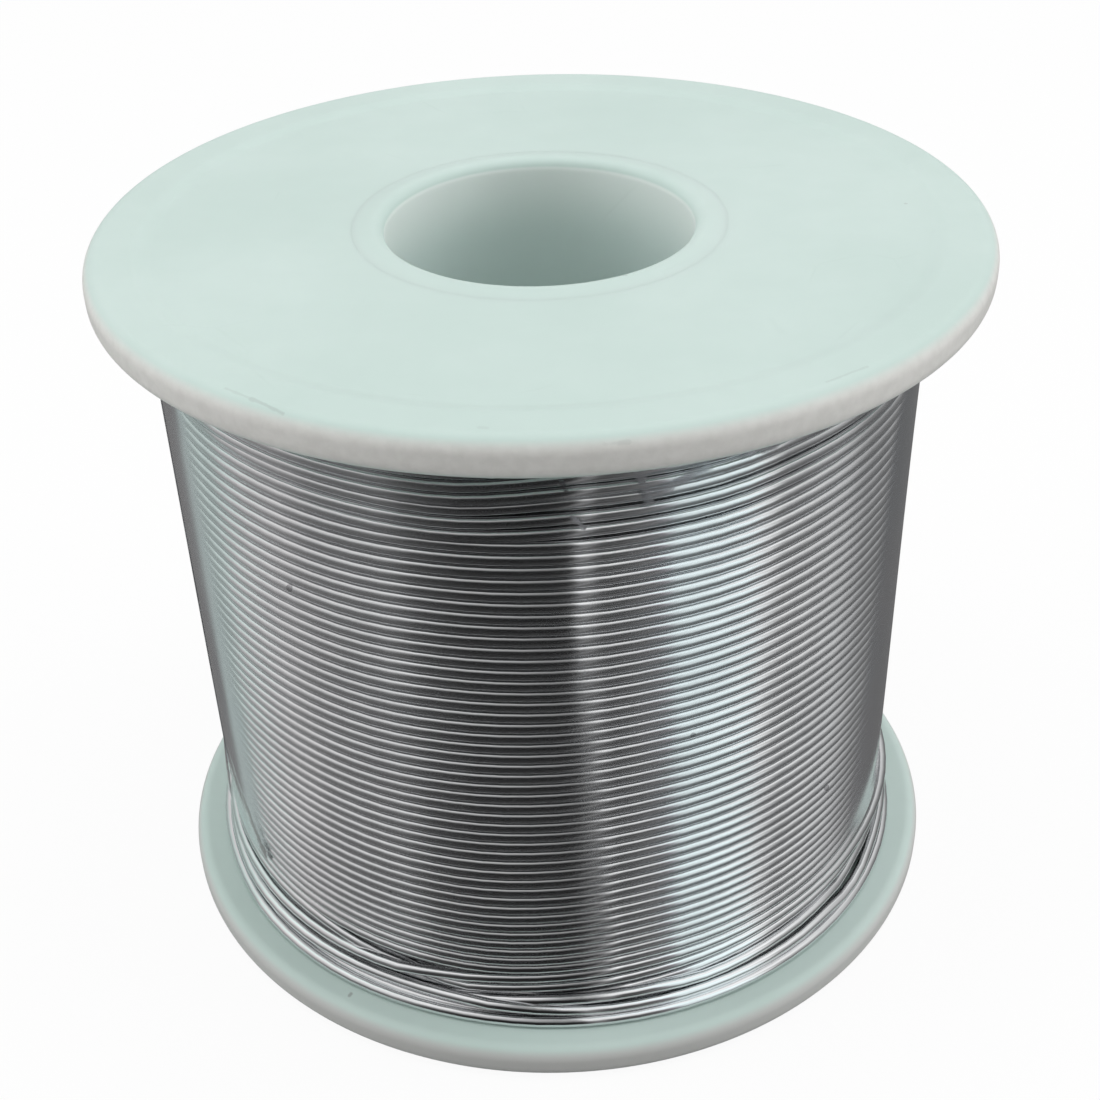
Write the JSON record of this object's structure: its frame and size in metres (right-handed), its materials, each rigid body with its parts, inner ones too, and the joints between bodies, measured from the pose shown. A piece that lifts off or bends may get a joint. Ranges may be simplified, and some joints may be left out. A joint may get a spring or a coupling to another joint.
{
  "type": "solder wire spool",
  "caption": "Plastic reel with round flanges and a spindle bore, wound close with bright solder wire under a clear film.",
  "frame": {"origin": "centre of the face that the spool stands on, on the axis of the bore", "axes": "+Z along the bore from the lower flange to the upper one; +Y towards the side where the wire ends; +X to the right with +Y away"},
  "size_m": [0.058, 0.058, 0.05],
  "materials": {
    "reel_plastic": "satin, slightly translucent",
    "solder": "bright drawn tin alloy",
    "rosin": "hard amber resin",
    "clear_film": "clear, glossy"
  },
  "bodies": {
    "root": {"hub_tube": "reel_plastic", "upper_flange": "reel_plastic", "lower_flange": "reel_plastic", "solder_inner_layers": "solder", "solder_outer_layer": "solder", "solder_free_end": "solder", "flux_core": "rosin", "film_wrap": "clear_film"}
  },
  "joints": []
}
